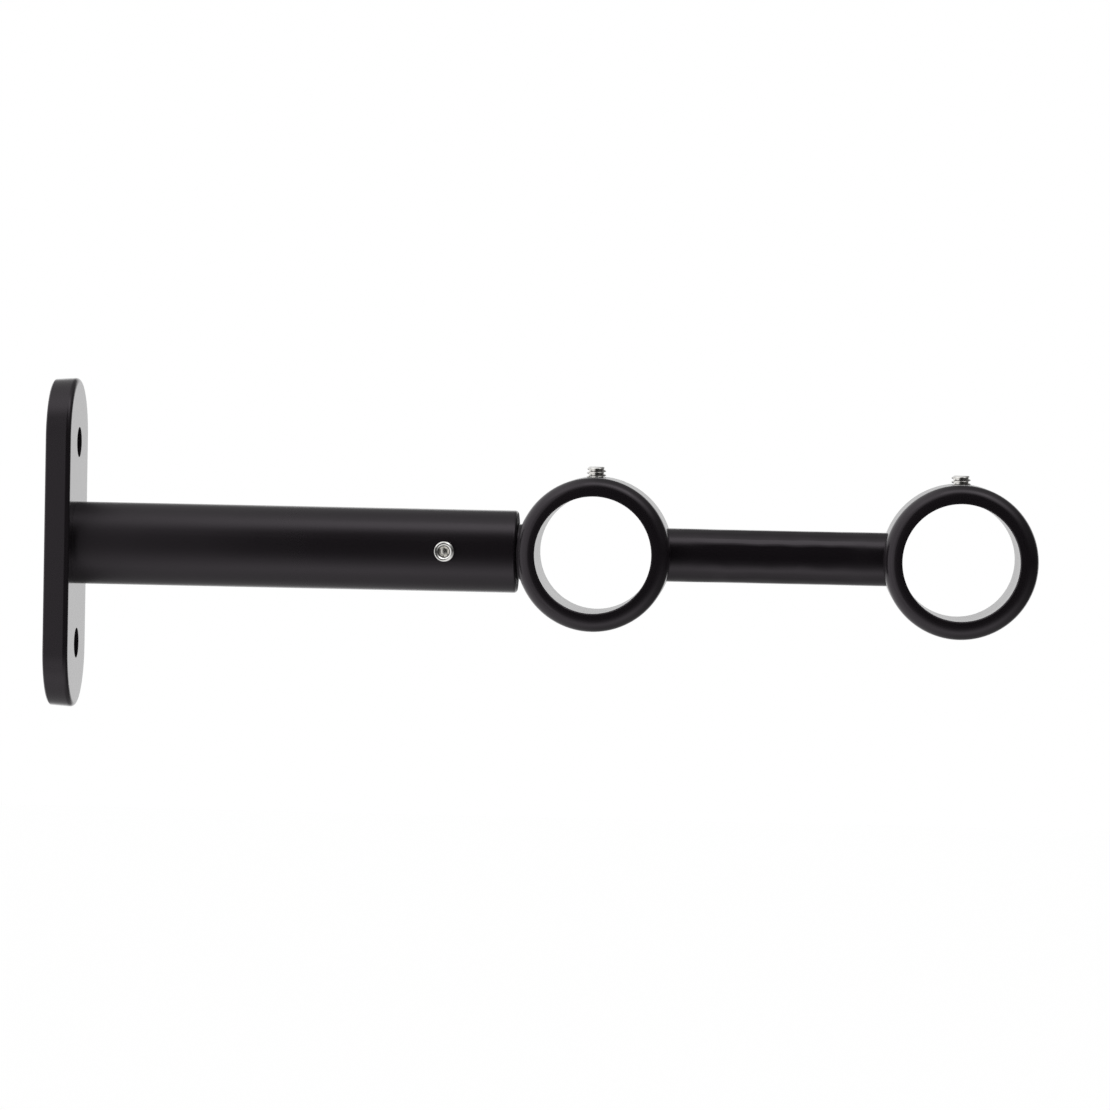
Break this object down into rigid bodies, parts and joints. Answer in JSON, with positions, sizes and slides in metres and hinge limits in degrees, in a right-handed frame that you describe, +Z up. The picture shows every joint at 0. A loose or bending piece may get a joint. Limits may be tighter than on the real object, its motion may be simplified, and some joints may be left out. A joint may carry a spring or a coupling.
{
  "type": "double curtain pole bracket",
  "caption": "Wall bracket for curtain poles hung one in front of the other: a rounded wall plate carries a tube, and a sliding arm with ring holders and set screws slides out of it.",
  "frame": {"origin": "centre of the wall plate's back face, midway between the two wall holes", "axes": "+X out of the wall along the arm, +Y along the poles, away from the tube's set screw, +Z up"},
  "size_m": [0.2441, 0.03, 0.0818],
  "materials": {
    "satin_black": "black powder coat, satin to semi-gloss",
    "gloss_black": "black powder coat, glossy",
    "bright_steel": "bright nickel-plated steel",
    "plain_steel": "zinc-plated steel"
  },
  "bodies": {
    "wall_side": {"wall_plate": "satin_black", "outer_tube": "satin_black", "tube_end_plug": "plain_steel", "plate_screw": "plain_steel"},
    "arm": {"slide_rod": "gloss_black", "inner_ring": "satin_black", "connecting_rod": "gloss_black", "outer_ring": "satin_black"},
    "tube_screw": {"tube_set_screw": "bright_steel"},
    "inner_screw": {"inner_ring_screw": "bright_steel"},
    "outer_screw": {"outer_ring_screw": "bright_steel"}
  },
  "joints": [
    {"name": "arm_slide", "type": "slide", "parent": "wall_side", "child": "arm", "axis": [1, 0, 0], "range_m": [0, 0.05]},
    {"name": "tube_screw_travel", "type": "slide", "parent": "wall_side", "child": "tube_screw", "axis": [0, 1, 0], "range_m": [-0.002, 0.00025]},
    {"name": "inner_screw_travel", "type": "slide", "parent": "arm", "child": "inner_screw", "axis": [0, 0, -1], "range_m": [-0.002, 0.0022]},
    {"name": "outer_screw_travel", "type": "slide", "parent": "arm", "child": "outer_screw", "axis": [0, 0, -1], "range_m": [-0.002, 0.0018]}
  ]
}
